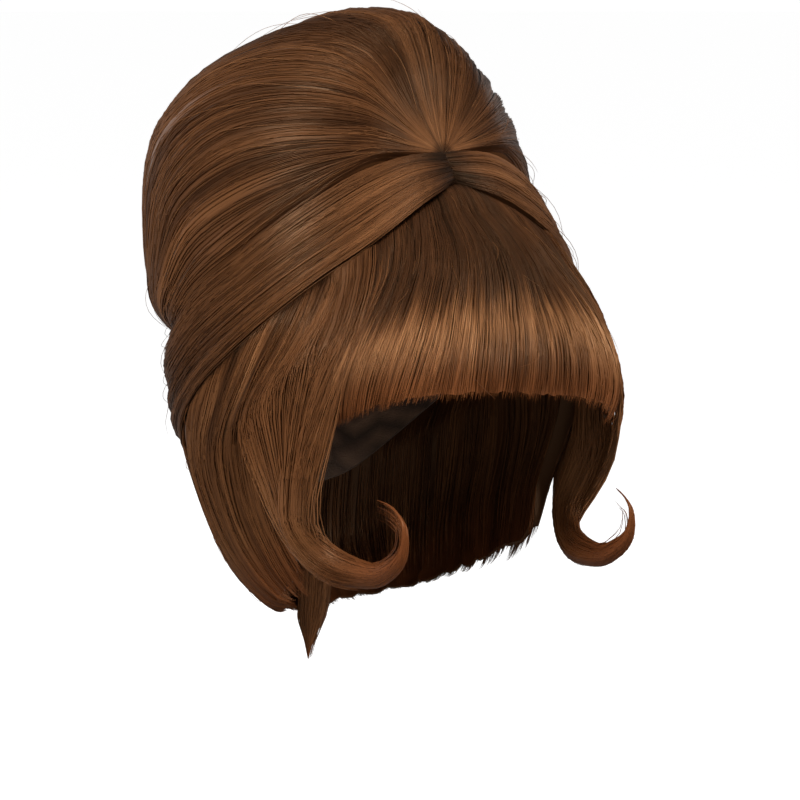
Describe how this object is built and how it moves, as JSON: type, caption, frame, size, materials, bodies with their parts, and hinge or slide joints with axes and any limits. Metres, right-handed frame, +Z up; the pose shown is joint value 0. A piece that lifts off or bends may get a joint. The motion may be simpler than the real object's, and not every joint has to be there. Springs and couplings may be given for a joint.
{
  "type": "beehive wig with fringe and cheek curls",
  "caption": "Tall back-combed wig on a thin cap, with swept sides, a full rounded fringe, a curled lock at each cheek and a tail at the nape.",
  "frame": {"origin": "top of the cap's hollow, where the head carries it", "axes": "+Z up along the head, the wearer faces -Y, the wearer's right is -X"},
  "size_m": [0.1998, 0.2474, 0.3289],
  "materials": {
    "hair": "satin",
    "deep_hair": "satin",
    "cap": "matte"
  },
  "bodies": {
    "root": {"wig_cap": "cap", "crown_beehive": "hair", "sweep_right": "hair", "sweep_left": "hair", "fringe": "hair", "side_hair_right": "hair", "side_hair_left": "hair", "back_hair": "hair", "cheek_curl_right": "deep_hair", "cheek_curl_left": "deep_hair", "nape_tail": "deep_hair"}
  },
  "joints": []
}
